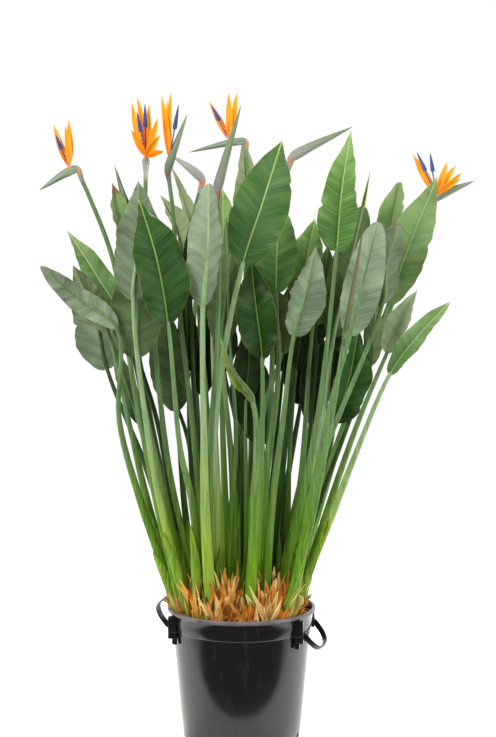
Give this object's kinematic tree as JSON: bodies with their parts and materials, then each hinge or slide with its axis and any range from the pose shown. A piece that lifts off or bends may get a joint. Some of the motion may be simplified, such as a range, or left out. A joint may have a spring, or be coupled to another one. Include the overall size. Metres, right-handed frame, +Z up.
{
  "type": "potted bird of paradise plant",
  "caption": "Tall bird of paradise plant with paddle leaves on long stalks, orange and blue beaked blooms and dry husks, in a black nursery pot with swinging strap handles.",
  "frame": {"origin": "middle of the pot's flat underside, on the pot's axis", "axes": "+Z up along the pot's axis; -Y is the side of the plant that the picture shows; +X is the picture's right"},
  "size_m": [0.9989, 0.564, 1.5092],
  "materials": {
    "pot_plastic": "gloss",
    "handle_plastic": "satin",
    "soil": "matte",
    "husk": "matte",
    "leaf": "satin",
    "spathe": "satin",
    "sepal": "satin",
    "petal": "satin"
  },
  "bodies": {
    "root": {"pot": "pot_plastic", "potting_soil": "soil", "dry_husks": "husk", "leaf_left_outer": "leaf", "leaf_left_high": "leaf", "leaf_left_olive": "leaf", "leaf_left_broad": "leaf", "leaf_left_underside": "leaf", "leaf_front_dark": "leaf", "leaf_left_rolled": "leaf", "leaf_left_curled": "leaf", "leaf_left_grey": "leaf", "leaf_left_low": "leaf", "leaf_back_pale": "leaf", "leaf_back_narrow": "leaf", "leaf_centre_low": "leaf", "leaf_front_silver": "leaf", "leaf_centre_bright": "leaf", "leaf_centre_grey": "leaf", "leaf_main": "leaf", "leaf_centre_lit": "leaf", "leaf_centre_dark": "leaf", "leaf_low_dark": "leaf", "leaf_young_rolled": "leaf", "leaf_right_tall": "leaf", "leaf_right_lit": "leaf", "leaf_centre_silver": "leaf", "leaf_right_wavy": "leaf", "leaf_right_grey": "leaf", "leaf_right_big": "leaf", "leaf_right_folded": "leaf", "leaf_right_pale": "leaf", "leaf_right_green": "leaf", "leaf_right_small": "leaf", "leaf_right_outer": "leaf", "leaf_low_hanging": "leaf", "leaf_low_brown_tip": "leaf", "leaf_back_tall": "leaf", "leaf_back_spear": "leaf", "bloom_left_stalk_spathe": "spathe", "bloom_left_orange_sepals": "sepal", "bloom_left_blue_petals": "petal", "bloom_twin_stalk_spathe": "spathe", "bloom_twin_orange_sepals": "sepal", "bloom_twin_blue_petals": "petal", "bloom_back_left_stalk_spathe": "spathe", "bloom_back_left_orange_sepals": "sepal", "bloom_back_left_blue_petals": "petal", "bloom_centre_stalk_spathe": "spathe", "bloom_centre_orange_sepals": "sepal", "bloom_centre_blue_petals": "petal", "bloom_right_stalk_spathe": "spathe", "bloom_right_orange_sepals": "sepal", "bloom_right_blue_petals": "petal", "bud_back_left_stalk": "spathe", "bud_centre_stalk": "spathe", "bud_right_stalk": "spathe", "bud_front_right_stalk": "spathe"},
    "handle_left": {"handle_left": "handle_plastic"},
    "handle_right": {"handle_right": "handle_plastic"}
  },
  "joints": [
    {"name": "handle_left_swing", "type": "hinge", "parent": "root", "child": "handle_left", "pos_m": [-0.15583, 0.01913, 0.268], "axis": [0.1219, 0.9925, 0], "range_deg": [-122, 12]},
    {"name": "handle_right_swing", "type": "hinge", "parent": "root", "child": "handle_right", "pos_m": [0.15412, -0.02996, 0.268], "axis": [-0.1908, -0.9816, 0], "range_deg": [-22, 112]}
  ]
}
